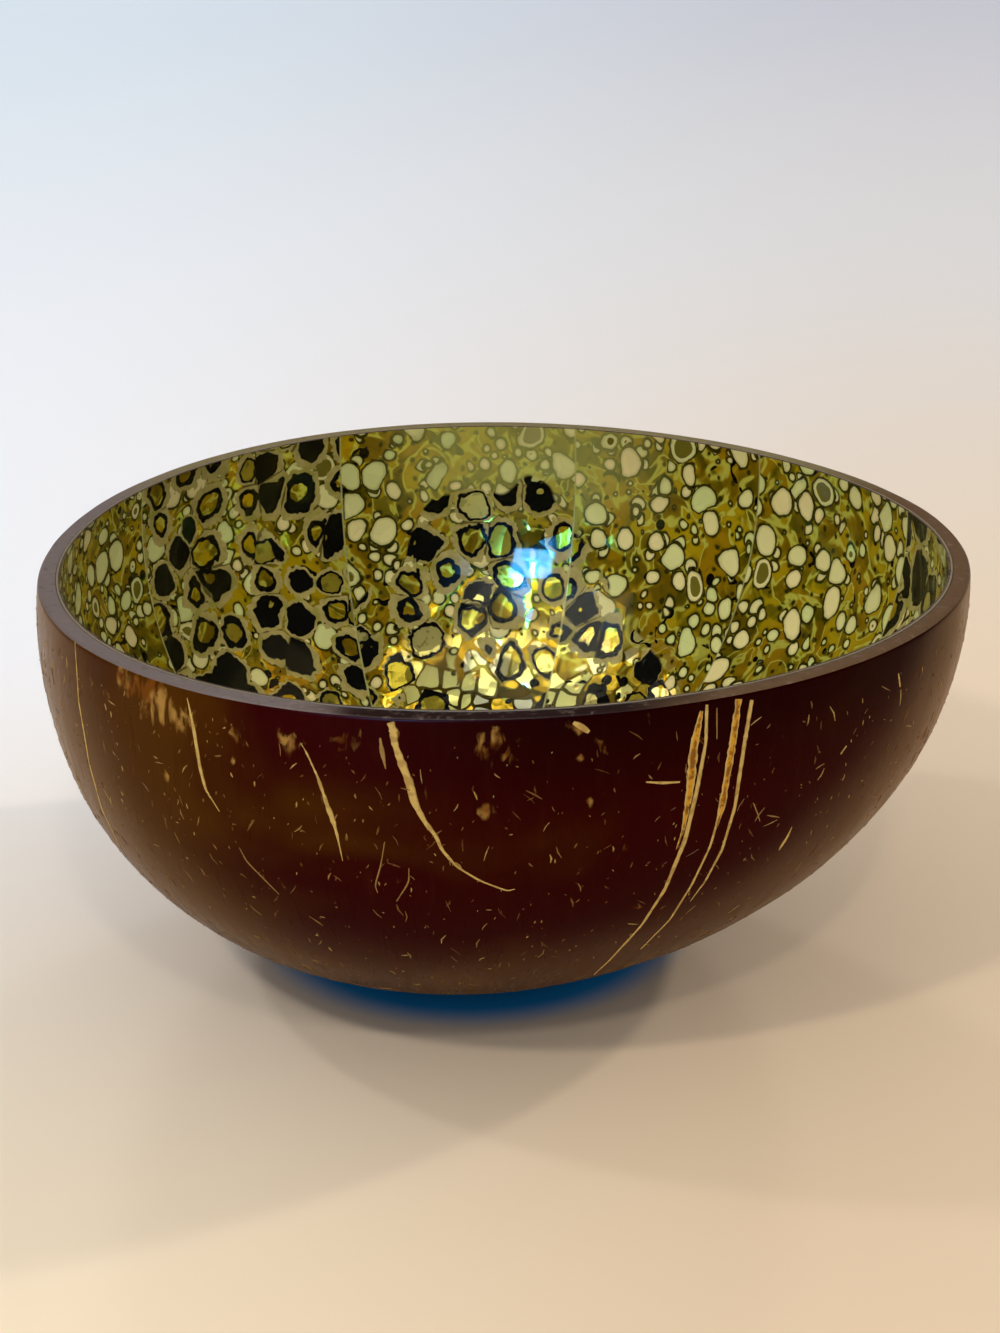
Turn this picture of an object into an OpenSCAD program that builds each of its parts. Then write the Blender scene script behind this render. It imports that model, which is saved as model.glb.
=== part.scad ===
/* [Nut] */
// Diameter of the nut at its girth, its widest ring, in mm
girth_d = 141; // [110:0.2:170]
// Depth of the nut from its girth down to its blunt pole
nut_depth = 57.9; // [45:0.1:75]
// Fullness of the nut's side, 2 is an ellipse and more is squarer
side_fullness = 2.11; // [1.9:0.01:2.6]
// Lean of the nut's own axis from upright, in degrees
nut_lean = 10.6; // [0:0.1:15]
// How far the three ridges of the nut stand above its mean girth
ridge_rise = 1.25; // [0:0.05:2.5]
// Direction of the first ridge, in degrees round the bowl
ridge_turn = -12.5; // [-60:0.5:60]

/* [Cuts] */
// Height of the bowl from its base to its rim
bowl_h = 63.8; // [50:0.1:75]
// Depth of nut sanded away to make the base flat
base_cut = 0.9; // [0.6:0.1:1.6]

/* [Walls] */
// Thickness of the shell at the rim
shell_wall = 2.5; // [2:0.1:4]
// Thickness of the shell at the bottom, before the base is sanded
shell_base_wall = 3.6; // [3:0.1:6]
// Thickness of the filler and glue under the lining
bond_t = 0.25; // [0.2:0.05:0.6]
// Thickness of the lining panels
panel_t = 0.3; // [0.2:0.05:0.8]
// Thickness of the clear lacquer over the lining
coat_t = 0.35; // [0.2:0.05:0.8]

/* [Lining] */
// Radius of the round piece at the middle of the lining
centre_r = 24; // [16:0.5:32]

/* [Hidden] */

// Directions of the butt seams between the panels, in degrees round the bowl, anticlockwise from the right
seam_turns = [13, 43, 72, 107.5, 148, 184, 220, 256, 292, 330];
// Steps round the nut, and rings from above the rim down to the pole
turn_steps = 48;
ring_steps = 20;
// Where the first ring lies above the girth, as a share of the way to the nut's upper pole
top_ring_share = 0.6;
// How far the cutting blocks reach past the bowl, as a share of its girth
overrun_share = 0.25;
// Smooth enough for a true round edge
round_fn = 96;

// Radius and depth of the surface that lies deep mm inside the nut at its girth, base_deep at its pole
function girth_r(deep) = girth_d / 2 - deep;
function pole_h(base_deep) = nut_depth - base_deep;
// Height of the nut's middle above its lowest point, when it leans
function support_h() =
    let(power = side_fullness / (side_fullness - 1))
    pow(pow(girth_d / 2 * sin(nut_lean), power) + pow(nut_depth * cos(nut_lean), power), 1 / power);
// Place of that lowest point, across the nut's axis and along it
function lowest_across() =
    girth_d / 2 * pow(girth_d / 2 * sin(nut_lean) / support_h(), 1 / (side_fullness - 1));
function lowest_along() =
    nut_depth * pow(nut_depth * cos(nut_lean) / support_h(), 1 / (side_fullness - 1));
// Middle of the girth, so that the lowest point comes over the origin and the base cut lies at z = 0
nut_x = lowest_across() * cos(nut_lean) - lowest_along() * sin(nut_lean);
nut_z = support_h() - base_cut;
cut_size = girth_d * (1 + 2 * overrun_share);

// Point of the nut's side at an angle below the girth and a turn round its axis
function side_r(angle, radius) = radius * pow(abs(cos(angle)), 2 / side_fullness);
function side_h(angle, depth) = -sign(angle) * depth * pow(abs(sin(angle)), 2 / side_fullness);
function ridge_scale(turn, angle) =
    1 + ridge_rise / (girth_d / 2) * cos(3 * (turn - ridge_turn)) * sqrt(abs(cos(angle)));
function nut_point(turn, angle, radius, depth) =
    let(r = side_r(angle, radius) * ridge_scale(turn, angle))
    [r * cos(turn), r * sin(turn), side_h(angle, depth)];
function ring_angle(k) = -90 * top_ring_share + 90 * (1 + top_ring_share) * k / ring_steps;

// The nut as one closed body, from above the rim to its pole, drawn in by the two depths
module nut(deep, base_deep) {
    points = concat(
        [[0, 0, side_h(ring_angle(0), pole_h(base_deep))]],
        [for (k = [0:ring_steps - 1]) for (t = [0:turn_steps - 1])
            nut_point(360 * t / turn_steps, ring_angle(k), girth_r(deep), pole_h(base_deep))],
        [[0, 0, -pole_h(base_deep)]]
    );
    last = len(points) - 1;
    function at(k, t) = 1 + k * turn_steps + t % turn_steps;
    faces = concat(
        [for (t = [0:turn_steps - 1]) [0, at(0, t + 1), at(0, t)]],
        [for (k = [0:ring_steps - 2]) for (t = [0:turn_steps - 1])
            [at(k, t), at(k, t + 1), at(k + 1, t)]],
        [for (k = [0:ring_steps - 2]) for (t = [0:turn_steps - 1])
            [at(k, t + 1), at(k + 1, t + 1), at(k + 1, t)]],
        [for (t = [0:turn_steps - 1]) [at(ring_steps - 1, t), at(ring_steps - 1, t + 1), last]]
    );
    translate([nut_x, 0, nut_z]) rotate([0, -nut_lean, 0]) polyhedron(points, faces, convexity = 4);
}

// Everything above the rim, and everything below the base
module above_rim() {
    translate([-cut_size / 2, -cut_size / 2, bowl_h]) cube(cut_size);
}
module below_base() {
    translate([-cut_size / 2, -cut_size / 2, -cut_size]) cube(cut_size);
}

// One layer of the bowl between two depths, cut level at the rim
module layer(outer, outer_base, inner, inner_base) {
    difference() {
        nut(outer, outer_base);
        nut(inner, inner_base);
        above_rim();
    }
}

// Depths of the faces between the layers, counted from the outside of the nut
bond_deep = shell_wall;
panel_deep = bond_deep + bond_t;
coat_deep = panel_deep + panel_t;
inside_deep = coat_deep + coat_t;
// The same at the pole, where the shell is thicker
base_extra = shell_base_wall - shell_wall;

module coconut_shell() {
    color([0.27, 0.12, 0.07])
    difference() {
        layer(0, 0, bond_deep, bond_deep + base_extra);
        below_base();
    }
}

module bond_coat() {
    color([0.66, 0.58, 0.45])
    layer(bond_deep, bond_deep + base_extra, panel_deep, panel_deep + base_extra);
}

// The whole lining, before it is cut into its pieces
module lining() {
    layer(panel_deep, panel_deep + base_extra, coat_deep, coat_deep + base_extra);
}

module centre_block() {
    cylinder(h = bowl_h, r = centre_r, $fn = round_fn);
}

// Block between two seams, from the middle of the base outwards
module seam_block(from, to) {
    linear_extrude(bowl_h)
    polygon([
        [0, 0],
        [cut_size * cos(from), cut_size * sin(from)],
        [cut_size * cos(to), cut_size * sin(to)]
    ]);
}

module inlay_panel(number) {
    from = seam_turns[number - 1];
    to = number < len(seam_turns) ? seam_turns[number] : seam_turns[0] + 360;
    color([0.50 + 0.02 * (number % 3), 0.47, 0.18 + 0.05 * (number % 2)])
    difference() {
        intersection() {
            lining();
            seam_block(from, to);
        }
        centre_block();
    }
}

module inlay_centre() {
    color([0.62, 0.58, 0.36])
    intersection() {
        lining();
        centre_block();
    }
}

module clear_coat() {
    color([0.85, 0.86, 0.80])
    layer(coat_deep, coat_deep + base_extra, inside_deep, inside_deep + base_extra);
}

coconut_shell();
bond_coat();
inlay_panel(1);  // inlay_panel_01
inlay_panel(2);  // inlay_panel_02
inlay_panel(3);  // inlay_panel_03
inlay_panel(4);  // inlay_panel_04
inlay_panel(5);  // inlay_panel_05
inlay_panel(6);  // inlay_panel_06
inlay_panel(7);  // inlay_panel_07
inlay_panel(8);  // inlay_panel_08
inlay_panel(9);  // inlay_panel_09
inlay_panel(10);  // inlay_panel_10
inlay_centre();
clear_coat();
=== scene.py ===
# %% [markdown]
# # A coconut shell bowl with a patterned lining
# Half a coconut is cut level, sanded and polished. Inside, a filler evens out the rough wall, tapering
# panels of patterned sheet lie on it side by side, one round piece covers their points at the bottom, and
# a clear lacquer closes it all. Each of them is a piece of its own here, as it is on the bench.

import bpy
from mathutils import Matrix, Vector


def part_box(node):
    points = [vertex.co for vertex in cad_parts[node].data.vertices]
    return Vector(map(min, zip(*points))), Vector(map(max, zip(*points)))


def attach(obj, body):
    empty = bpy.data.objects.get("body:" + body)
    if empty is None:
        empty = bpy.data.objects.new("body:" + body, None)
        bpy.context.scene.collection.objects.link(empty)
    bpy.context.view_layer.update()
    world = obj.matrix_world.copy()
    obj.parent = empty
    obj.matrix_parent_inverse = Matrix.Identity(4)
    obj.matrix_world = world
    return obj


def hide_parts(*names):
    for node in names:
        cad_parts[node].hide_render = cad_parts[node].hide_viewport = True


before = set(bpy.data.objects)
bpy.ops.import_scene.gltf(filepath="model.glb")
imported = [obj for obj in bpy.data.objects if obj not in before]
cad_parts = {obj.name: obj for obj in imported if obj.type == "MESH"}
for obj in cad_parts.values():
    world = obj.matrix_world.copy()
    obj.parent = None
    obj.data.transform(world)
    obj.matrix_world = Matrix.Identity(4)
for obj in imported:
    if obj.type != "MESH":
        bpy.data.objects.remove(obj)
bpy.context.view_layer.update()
print("the frame has", len(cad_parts), "CAD nodes")

# %% [markdown]
# ## Tools and first measures
# bmesh builds the meshes, and numpy works out thousands of places at once. The height of the bowl and the
# names of its lining panels are taken from the frame, so they can't drift away from the CAD part.

# %% The tools that the cells share
import math
import random

import bmesh
import bpy
import numpy as np
from mathutils import Matrix, Vector, noise

MM = 0.001
BOWL_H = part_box("coconut_shell")[1].z
PANEL_NODES = sorted(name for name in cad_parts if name.startswith("inlay_panel_"))
print("bowl", round(BOWL_H / MM, 1), "mm high,", len(PANEL_NODES), "lining panels")

# %% [markdown]
# ## The nut's own shape
# A nut is no ball: it leans in its husk, and three soft ridges run from pole to pole. Sculpting could give
# that, but all the layers of this bowl have to fit in one another, so one formula gives every surface. It
# tells how far a point lies outside the nut, and a layer is the same formula drawn in by its depth.

# %% The formula of the nut
GIRTH_R = 70.5 * MM
NUT_DEPTH = 57.9 * MM
SIDE_FULLNESS = 2.11
NUT_LEAN = math.radians(10.6)
RIDGE_RISE = 1.25 * MM
RIDGE_TURN = math.radians(-12.5)
RIDGES = 3
BASE_CUT = 0.9 * MM
SHELL_WALL = 2.5 * MM
BASE_EXTRA = 1.1 * MM

LEAN_SIN, LEAN_COS = math.sin(NUT_LEAN), math.cos(NUT_LEAN)
SUPPORT_POWER = SIDE_FULLNESS / (SIDE_FULLNESS - 1)
TOUCH_POWER = 1 / (SIDE_FULLNESS - 1)
SUPPORT_H = ((GIRTH_R * LEAN_SIN) ** SUPPORT_POWER
             + (NUT_DEPTH * LEAN_COS) ** SUPPORT_POWER) ** (1 / SUPPORT_POWER)
LOWEST_ACROSS = GIRTH_R * (GIRTH_R * LEAN_SIN / SUPPORT_H) ** TOUCH_POWER
LOWEST_ALONG = NUT_DEPTH * (NUT_DEPTH * LEAN_COS / SUPPORT_H) ** TOUCH_POWER
NUT_X = LOWEST_ACROSS * LEAN_COS - LOWEST_ALONG * LEAN_SIN
NUT_Z = SUPPORT_H - BASE_CUT


def outside(points, deep):
    """Below 0 for a point inside the surface that lies deep under the skin, above 0 outside it."""
    base_deep = deep + (BASE_EXTRA if deep >= SHELL_WALL else 0)
    radius, depth = GIRTH_R - deep, NUT_DEPTH - base_deep
    x, y, z = points[:, 0] - NUT_X, points[:, 1], points[:, 2] - NUT_Z
    across = LEAN_COS * x + LEAN_SIN * z
    along = np.abs(LEAN_COS * z - LEAN_SIN * x) / depth
    turn = np.arctan2(y, across)
    cosine = np.sqrt(1 - np.clip(along, 0, 1) ** SIDE_FULLNESS)
    ridge = 1 + RIDGE_RISE / GIRTH_R * np.cos(RIDGES * (turn - RIDGE_TURN)) * np.sqrt(cosine)
    return (np.hypot(across, y) / (radius * ridge)) ** SIDE_FULLNESS + along ** SIDE_FULLNESS - 1


print("middle of the girth at", round(NUT_X / MM, 2), round(NUT_Z / MM, 2), "mm")

# %% [markdown]
# ## Rays from the heart of the bowl
# The heart lies level with the rim, on the upright line where all the seams of the lining meet. A ray from
# it has a turn round that line and a dip under the rim, and meets each layer once. A ray of no dip meets
# it exactly at the cut, so every piece ends level at the rim without any cutting.

# %% Rays from the heart
HEART = np.array([0, 0, BOWL_H])
QUARTER = math.pi / 2
HALVINGS = 36
COLUMNS = 360


def halve(is_inside, count, far):
    """For each of count lines, how far it runs inside before it comes out, found by halving."""
    low, high = np.zeros(count), np.full(count, far)
    for _ in range(HALVINGS):
        middle = (low + high) / 2
        inside = is_inside(middle)
        low, high = np.where(inside, middle, low), np.where(inside, high, middle)
    return low


def wall_points(turns, dips, deep):
    """Where the rays of these turns and dips meet the layer that lies deep under the skin."""
    turns, dips = np.asarray(turns, float), np.asarray(dips, float)
    rays = np.stack([np.cos(turns) * np.cos(dips), np.sin(turns) * np.cos(dips), -np.sin(dips)], 1)
    ways = halve(lambda way: outside(HEART + rays * way[:, None], deep) < 0, len(rays), 2 * GIRTH_R)
    return HEART + rays * ways[:, None]


def dips_at(turns, radius, deep):
    """The dip at which each turn's ray meets the layer at this radius from the upright line."""
    flat = np.stack([radius * np.cos(turns), radius * np.sin(turns), np.full(len(turns), BOWL_H)], 1)
    down = np.array([0, 0, -1])
    falls = halve(lambda way: outside(flat + down * way[:, None], deep) < 0, len(turns), 2 * BOWL_H)
    return np.arctan2(falls, radius)


rim = wall_points(np.linspace(0, 2 * math.pi, COLUMNS), np.zeros(COLUMNS), 0)
print("rim", np.round((rim.max(0) - rim.min(0))[:2] / MM, 1), "mm, middle", np.round(rim.mean(0) / MM, 1))

# %% [markdown]
# ## The camera
# The picture was taken from a little above, from the front. A camera was fitted to the oval of the rim
# and to the outline of the belly, and its numbers are kept as real sizes and as pixels of the picture. The
# same numbers turn a pixel into a ray, so marks on the shell can be placed where they are seen.

# %% The camera
PICTURE_W, PICTURE_H = 1000, 1333
FOCAL_PX = 2698
SENSOR_MM = 36
AIM = Vector((7.8, 0.75, 44.1)) * MM
EYE_WAY = 420 * MM
EYE_RISE = math.radians(20.93)
EYE_ROLL = math.radians(-0.5)

look = Vector((0, math.cos(EYE_RISE), -math.sin(EYE_RISE)))
level_up = Vector((0, math.sin(EYE_RISE), math.cos(EYE_RISE)))
level_right = Vector((1, 0, 0))
eye_right = math.cos(EYE_ROLL) * level_right + math.sin(EYE_ROLL) * level_up
eye_up = math.cos(EYE_ROLL) * level_up - math.sin(EYE_ROLL) * level_right
eye = AIM - look * EYE_WAY

camera = bpy.data.objects.new("camera", bpy.data.cameras.new("camera"))
camera.data.sensor_width = SENSOR_MM
camera.data.lens = FOCAL_PX / PICTURE_H * SENSOR_MM
camera.matrix_world = Matrix.Translation(eye) @ Matrix((eye_right, eye_up, -look)).transposed().to_4x4()
bpy.context.scene.collection.objects.link(camera)
bpy.context.scene.camera = camera
print("camera at", [round(value / MM) for value in eye], "mm, lens", round(camera.data.lens, 1), "mm")

# %% [markdown]
# ## Small helpers for shader nodes
# A procedural pattern is a long sum, and written node by node it is hard to read. These helpers add one
# node each and put a plain value or another node's output in its sockets, so a pattern reads as a sum.


# %% Helpers for shader nodes
def screen(red, green, blue):
    """The colour that shows as these 0 to 255 levels on a screen."""
    shares = [level / 255 for level in (red, green, blue)]
    return tuple(s / 12.92 if s <= 0.04045 else ((s + 0.055) / 1.055) ** 2.4 for s in shares) + (1,)


def feed(tree, socket, value):
    if isinstance(value, bpy.types.NodeSocket):
        tree.links.new(value, socket)
    else:
        socket.default_value = value


def place_node(tree, kind, settings=None, **values):
    """A node of this kind with its settings, fed by socket name; spaces are written as _."""
    node = tree.nodes.new("ShaderNode" + kind)
    for key, value in (settings or {}).items():
        setattr(node, key, value)
    for key, value in values.items():
        feed(tree, node.inputs[key.replace("_", " ")], value)
    return node


def reckon(tree, operation, *values):
    node = place_node(tree, "Math", {"operation": operation})
    for socket, value in zip(node.inputs, values):
        feed(tree, socket, value)
    return node.outputs[0]


def plus(tree, first, second):
    return reckon(tree, "ADD", first, second)


def minus(tree, first, second):
    return reckon(tree, "SUBTRACT", first, second)


def times(tree, first, second):
    return reckon(tree, "MULTIPLY", first, second)


def times_plus(tree, first, second, third):
    """The product of the first two values, with the third added."""
    return reckon(tree, "MULTIPLY_ADD", first, second, third)


def greater(tree, first, second):
    return reckon(tree, "MAXIMUM", first, second)


def lesser(tree, first, second):
    return reckon(tree, "MINIMUM", first, second)


def round_least(tree, first, second, rounding):
    """The lesser of two values, with the corner between them rounded."""
    return reckon(tree, "SMOOTH_MIN", first, second, rounding)


def vector_sum(tree, operation, *values):
    node = place_node(tree, "VectorMath", {"operation": operation})
    for socket, value in zip(node.inputs, values):
        feed(tree, socket, value)
    return node.outputs["Value" if operation in ("DOT_PRODUCT", "LENGTH", "DISTANCE") else "Vector"]


def scaled(tree, vector, share):
    node = place_node(tree, "VectorMath", {"operation": "SCALE"}, Scale=share)
    feed(tree, node.inputs[0], vector)
    return node.outputs[0]


def rise(tree, value, low, high, to_low=0.0, to_high=1.0):
    """A soft step: to_low up to low, to_high from high on."""
    node = place_node(tree, "MapRange", {"interpolation_type": "SMOOTHSTEP"}, Value=value)
    for key, number in (("From Min", low), ("From Max", high), ("To Min", to_low), ("To Max", to_high)):
        feed(tree, node.inputs[key], number)
    return node.outputs["Result"]


def mixed(tree, share, first, second):
    """The first colour where share is 0, the second where it is 1."""
    node = place_node(tree, "Mix", {"data_type": "RGBA"})
    for number, value in ((0, share), (6, first), (7, second)):
        feed(tree, node.inputs[number], value)
    return node.outputs[2]


def parts(tree, vector):
    return place_node(tree, "SeparateXYZ", Vector=vector).outputs


def own_place(tree):
    """Each point's place on its piece, in metres."""
    return place_node(tree, "TexCoord").outputs["Object"]


def unrolled(tree, name):
    """Each point's place on the piece's map of this name."""
    return place_node(tree, "UVMap", {"uv_map": name}).outputs["UV"]


def mark(tree, name):
    """The value that the piece's vertices carry under this name."""
    return place_node(tree, "Attribute", {"attribute_name": name}).outputs["Fac"]


def emboss(tree, shader, strength, depth, height):
    """Lets the surface look raised by this height, up to the depth."""
    bump = place_node(tree, "Bump", Strength=strength, Distance=depth, Height=height)
    feed(tree, shader.inputs["Normal"], bump.outputs["Normal"])


def cloud(tree, vector, scale, detail=2.0, distortion=0.0, output="Fac"):
    """Noise of about 0 to 1 whose features are 1/scale wide."""
    node = place_node(tree, "TexNoise", Vector=vector, Scale=scale, Detail=detail, Distortion=distortion)
    return node.outputs[output]


def shader_group(name, inputs, outputs):
    """A node group with named inputs and outputs, and its two ends."""
    tree = bpy.data.node_groups.new(name, "ShaderNodeTree")
    kinds = {float: "NodeSocketFloat", tuple: "NodeSocketColor", Vector: "NodeSocketVector"}
    for in_out, sockets in (("INPUT", inputs), ("OUTPUT", outputs)):
        for key, value in sockets.items():
            made = tree.interface.new_socket(key, in_out=in_out, socket_type=kinds[type(value)])
            if in_out == "INPUT" and not isinstance(value, Vector):
                made.default_value = value
    return tree, tree.nodes.new("NodeGroupInput").outputs, tree.nodes.new("NodeGroupOutput").inputs


def use(tree, group, **values):
    node = tree.nodes.new("ShaderNodeGroup")
    node.node_tree = group
    for key, value in values.items():
        feed(tree, node.inputs[key.replace("_", " ")], value)
    return node.outputs


def new_material(name, **plain):
    """A material with one Principled shader, its plain values set, and its tree and shader."""
    material = bpy.data.materials.new(name)
    material.use_nodes = True
    tree = material.node_tree
    shader = tree.nodes["Principled BSDF"]
    for key, value in plain.items():
        shader.inputs[key.replace("_", " ")].default_value = value
    return material, tree, shader


WHITE = (1.0, 1.0, 1.0, 1.0)
print("node helpers ready")

# %% [markdown]
# ## Cells on a sheet
# Both prints of the lining are made of cells: pebbles with thin outlines, and black rings in pale halos. A
# Voronoi texture scatters seeds and tells how near the first and the second one are. The way to the
# nearest seed gives round spots, and half the difference of the two ways keeps them from touching. A slow
# noise bends the sheet first, so that circles turn into drops and ovals. Lengths on the sheet are in
# millimetres, as on its unrolled map.

# %% Cells on a sheet
CELL_SPACING = 4.6
CELL_WANDER = 1.0
BEND_SHARE = 0.55
SCATTER_SHARE = 0.85
MIDDLE_LOT = (0.5, 0.5, 0.5)
ON_SHEET = (1.0, 1.0, 0.0)

tree, given, gives = shader_group(
    "cells_on_a_sheet",
    {"Place": Vector(), "Spacing": CELL_SPACING, "Wander": CELL_WANDER, "Shift": 0.0},
    {"Reach": 0.0, "Aside": 0.0, "Gap": 0.0, "Lot": WHITE, "Tilt": 0.0})
cells = tree
bend_scale = reckon(tree, "DIVIDE", BEND_SHARE, given["Spacing"])
bend = cloud(tree, given["Place"], bend_scale, detail=1.0, output="Color")
bend = scaled(tree, vector_sum(tree, "SUBTRACT", bend, MIDDLE_LOT), given["Wander"])
bent = vector_sum(tree, "ADD", given["Place"], bend)
fineness = reckon(tree, "DIVIDE", 1.0, given["Spacing"])
nearest, second = (
    place_node(tree, "TexVoronoi", {"voronoi_dimensions": "2D", "feature": feature},
               Vector=bent, Scale=fineness, Randomness=SCATTER_SHARE)
    for feature in ("F1", "F2"))
feed(tree, gives["Reach"], times(tree, nearest.outputs["Distance"], given["Spacing"]))
apart = minus(tree, second.outputs["Distance"], nearest.outputs["Distance"])
half_spacing = times(tree, given["Spacing"], 0.5)
feed(tree, gives["Gap"], times(tree, apart, half_spacing))
feed(tree, gives["Lot"], nearest.outputs["Color"])
away = vector_sum(tree, "SUBTRACT", bent, nearest.outputs["Position"])
slope = vector_sum(tree, "SUBTRACT", nearest.outputs["Color"], MIDDLE_LOT)
feed(tree, gives["Tilt"], vector_sum(tree, "DOT_PRODUCT", away, slope))
off_seed = vector_sum(tree, "SUBTRACT", away, scaled(tree, slope, given["Shift"]))
feed(tree, gives["Aside"], vector_sum(tree, "LENGTH", vector_sum(tree, "MULTIPLY", off_seed, ON_SHEET)))
print("cells_on_a_sheet:", len(tree.nodes), "nodes")

# %% [markdown]
# ## The ground under both prints
# The sheet's ground is marbled foil in olive and gold with yellow-green veins. At the bottom of the bowl
# the foil is broken into small bright chips with dark cracks, each at a tilt of its own, as leaf that was
# laid in flakes. The chips are cells too, and a lot drawn for each tells its colour and its crack.

# %% The ground under both prints
PATCH_MOVE = (31.0, 7.0, 0.0)
MURK_MOVE = (5.0, 47.0, 0.0)
GOLD_SHARE = 0.2
VEIN_SHARES = (0.008, 0.05)
CHIP_SPACING = 2.7
CHIP_WANDER = 3.2
THINNEST_CRACK = 0.02
CRACK_SPREAD = 0.26
CRACK_FADE = 0.1

tree, given, gives = shader_group(
    "marbled_foil", {"Place": Vector(), "Gold": 0.0, "Broken": 0.0}, {"Color": WHITE, "Tilt": 0.0})
marbled_foil = tree
place = given["Place"]
marble = cloud(tree, place, scale=0.17, distortion=1.4)
patch = cloud(tree, vector_sum(tree, "ADD", place, PATCH_MOVE), scale=0.13, distortion=0.8)
murk = cloud(tree, vector_sum(tree, "ADD", place, MURK_MOVE), scale=0.21, distortion=1.0)
colour = mixed(tree, rise(tree, marble, 0.36, 0.62), screen(128, 101, 2), screen(200, 169, 16))
colour = mixed(tree, rise(tree, murk, 0.36, 0.50, 0.75, 0.0), colour, screen(84, 80, 6))
gold = plus(tree, patch, times(tree, given["Gold"], GOLD_SHARE))
colour = mixed(tree, rise(tree, gold, 0.52, 0.66, 0.0, 0.85), colour, screen(184, 142, 10))
vein = reckon(tree, "ABSOLUTE", minus(tree, marble, 0.5))
colour = mixed(tree, rise(tree, vein, *VEIN_SHARES, 0.85, 0.0), colour, screen(226, 220, 88))
chips = use(tree, cells, Place=place, Spacing=CHIP_SPACING, Wander=CHIP_WANDER)
chip_lot = parts(tree, chips["Lot"])
chip = mixed(tree, rise(tree, chip_lot[0], 0.10, 0.16), screen(108, 84, 10), screen(222, 182, 44))
chip = mixed(tree, rise(tree, chip_lot[0], 0.28, 0.42), chip, screen(255, 252, 158))
chip = mixed(tree, rise(tree, chip_lot[0], 0.74, 0.80), chip, screen(255, 255, 214))
crack = times_plus(tree, chip_lot[1], CRACK_SPREAD, THINNEST_CRACK)
off_crack = rise(tree, minus(tree, chips["Gap"], crack), 0.0, CRACK_FADE)
chip = mixed(tree, off_crack, screen(66, 56, 8), chip)
broken = times(tree, given["Broken"], rise(tree, marble, 0.34, 0.40))
feed(tree, gives["Color"], mixed(tree, broken, colour, chip))
feed(tree, gives["Tilt"], times(tree, broken, chips["Tilt"]))
print("marbled_foil:", len(tree.nodes), "nodes")

# %% [markdown]
# ## The pebble print
# Most panels show cream and greenish pebbles, 1 to 5 mm wide, close together on the foil, with soft dark
# outlines, small dark dots and a few black blots. Large pebbles come from wide cells with a size drawn for
# each, and small ones from narrow cells wherever no large one is near. Only the ground is foil. A body
# here is how far a point lies inside a shape, so one soft step at 0 draws its edge.

# %% The pebble print
LARGE_SPACING, LARGE_WANDER = 4.5, 3.4
LARGE_SIZES = (0.45, 2.0)
LARGE_CORNER = 0.7
SMALL_MOVE = (53.0, 17.0, 0.0)
SMALL_SPACING, SMALL_WANDER = 2.3, 1.2
SMALL_SIZES = (0.0, 0.95)
SMALL_CORNER = 0.4
GOLD_SHRINKS = 0.35
BROKEN_SHRINKS = (2.6, 1.2)
PEBBLE_GAP = 0.16
PEBBLE_EDGE = (-0.06, 0.08)
OUTLINE = (-0.5, -0.16)
RAGGED_EDGE = 0.35
RAGGED_OUTLINE = 0.5
SHADE_WIDTH = 0.5
CORE_EDGE = (0.42, 0.55)
DOT_SPACING, DOT_WANDER = 5.2, 0.6
DOT_SIZES = (0.0, 0.75)
DOT_GAP = 0.12
BLOT_SLOPE = 6.0
INK_EDGE = (-0.05, 0.05)

tree, given, gives = shader_group(
    "pebble_print", {"Place": Vector(), "Gold": 0.0, "Broken": 0.0},
    {"Color": WHITE, "Foil": 0.0, "Tilt": 0.0})
pebble_print = tree
place = given["Place"]
large = use(tree, cells, Place=place, Spacing=LARGE_SPACING, Wander=LARGE_WANDER)
small_place = vector_sum(tree, "ADD", place, SMALL_MOVE)
small = use(tree, cells, Place=small_place, Spacing=SMALL_SPACING, Wander=SMALL_WANDER)
large_lot, small_lot = parts(tree, large["Lot"]), parts(tree, small["Lot"])
ragged = minus(tree, cloud(tree, place, scale=0.9, detail=1.0), 0.5)
large_size = rise(tree, large_lot[0], 0.0, 0.95, *LARGE_SIZES)
large_size = times_plus(tree, given["Gold"], -GOLD_SHRINKS, large_size)
large_size = times_plus(tree, given["Broken"], -BROKEN_SHRINKS[0], large_size)
large_body = round_least(tree, minus(tree, large_size, large["Reach"]),
                         minus(tree, large["Gap"], PEBBLE_GAP), LARGE_CORNER)
large_body = times_plus(tree, ragged, RAGGED_EDGE, large_body)
small_size = rise(tree, small_lot[0], 0.35, 1.0, *SMALL_SIZES)
small_size = times_plus(tree, given["Broken"], -BROKEN_SHRINKS[1], small_size)
small_body = round_least(tree, minus(tree, small_size, small["Reach"]),
                         minus(tree, small["Gap"], PEBBLE_GAP), SMALL_CORNER)
clear = minus(tree, OUTLINE[0], large_body)
small_body = lesser(tree, small_body, clear)
body = greater(tree, large_body, small_body)
is_pebble = rise(tree, body, *PEBBLE_EDGE)
is_line = rise(tree, times_plus(tree, ragged, RAGGED_OUTLINE, body), *OUTLINE)
marbled = use(tree, marbled_foil, Place=place, Gold=given["Gold"], Broken=given["Broken"])
dots = use(tree, cells, Place=place, Spacing=DOT_SPACING, Wander=DOT_WANDER)
dot_lot = parts(tree, dots["Lot"])
dot_size = rise(tree, dot_lot[1], 0.55, 1.0, *DOT_SIZES)
dot_body = minus(tree, dot_size, dots["Reach"])
blot = minus(tree, cloud(tree, place, scale=0.30, detail=1.5, distortion=1.0), 0.68)
dot_body = greater(tree, dot_body, times(tree, blot, BLOT_SLOPE))
dot_body = lesser(tree, dot_body, minus(tree, -DOT_GAP, body))
colour = mixed(tree, is_line, marbled["Color"], screen(58, 52, 2))
colour = mixed(tree, rise(tree, dot_body, *INK_EDGE), colour, screen(14, 12, 4))
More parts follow.
